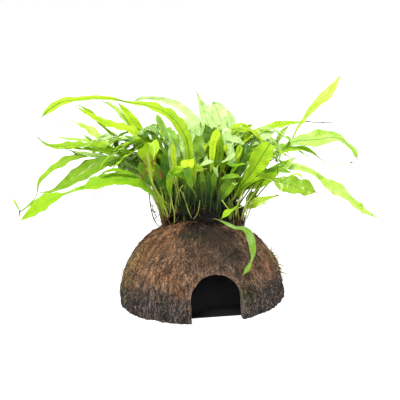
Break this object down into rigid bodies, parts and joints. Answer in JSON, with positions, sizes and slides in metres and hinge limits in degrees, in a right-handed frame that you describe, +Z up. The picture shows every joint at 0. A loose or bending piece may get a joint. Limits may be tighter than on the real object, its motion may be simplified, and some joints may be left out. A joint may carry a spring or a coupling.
{
  "type": "java fern on coconut cave",
  "caption": "Half coconut shell cave with an arched door, its top carrying a root mat, creeping rhizomes and a spreading tuft of long narrow fern fronds",
  "frame": {"origin": "on the surface that the shell's rim stands on, under the middle of the whole object's box", "axes": "+Z up, -Y the side that the arched door faces, +X to the right of someone who looks at the door"},
  "size_m": [0.2727, 0.1771, 0.1699],
  "materials": {
    "husk": "matte",
    "roots": "matte",
    "rhizome": "satin",
    "leaf": "satin"
  },
  "bodies": {
    "root": {"coconut_shell": "husk", "root_mat": "roots", "rhizome_front": "rhizome", "rhizome_middle": "rhizome", "rhizome_back": "rhizome", "rhizome_rear": "rhizome", "frond_front_01": "leaf", "frond_front_02": "leaf", "frond_front_03": "leaf", "frond_front_04": "leaf", "frond_front_05": "leaf", "frond_front_06": "leaf", "frond_front_07": "leaf", "frond_front_08": "leaf", "frond_front_09": "leaf", "frond_front_10": "leaf", "frond_front_11": "leaf", "frond_front_12": "leaf", "frond_front_13": "leaf", "frond_front_14": "leaf", "frond_middle_01": "leaf", "frond_middle_02": "leaf", "frond_middle_03": "leaf", "frond_middle_04": "leaf", "frond_middle_05": "leaf", "frond_middle_06": "leaf", "frond_middle_07": "leaf", "frond_middle_08": "leaf", "frond_middle_09": "leaf", "frond_middle_10": "leaf", "frond_middle_11": "leaf", "frond_middle_12": "leaf", "frond_middle_13": "leaf", "frond_middle_14": "leaf", "frond_middle_15": "leaf", "frond_back_01": "leaf", "frond_back_02": "leaf", "frond_back_03": "leaf", "frond_back_04": "leaf", "frond_back_05": "leaf", "frond_back_06": "leaf", "frond_back_07": "leaf", "frond_back_08": "leaf", "frond_back_09": "leaf", "frond_back_10": "leaf", "frond_back_11": "leaf", "frond_back_12": "leaf", "frond_back_13": "leaf", "frond_back_14": "leaf", "frond_back_15": "leaf", "frond_back_16": "leaf", "frond_back_17": "leaf", "frond_back_18": "leaf", "frond_rear_01": "leaf", "frond_rear_02": "leaf", "frond_rear_03": "leaf", "frond_rear_04": "leaf", "frond_rear_05": "leaf", "frond_rear_06": "leaf", "frond_rear_07": "leaf"}
  },
  "joints": []
}
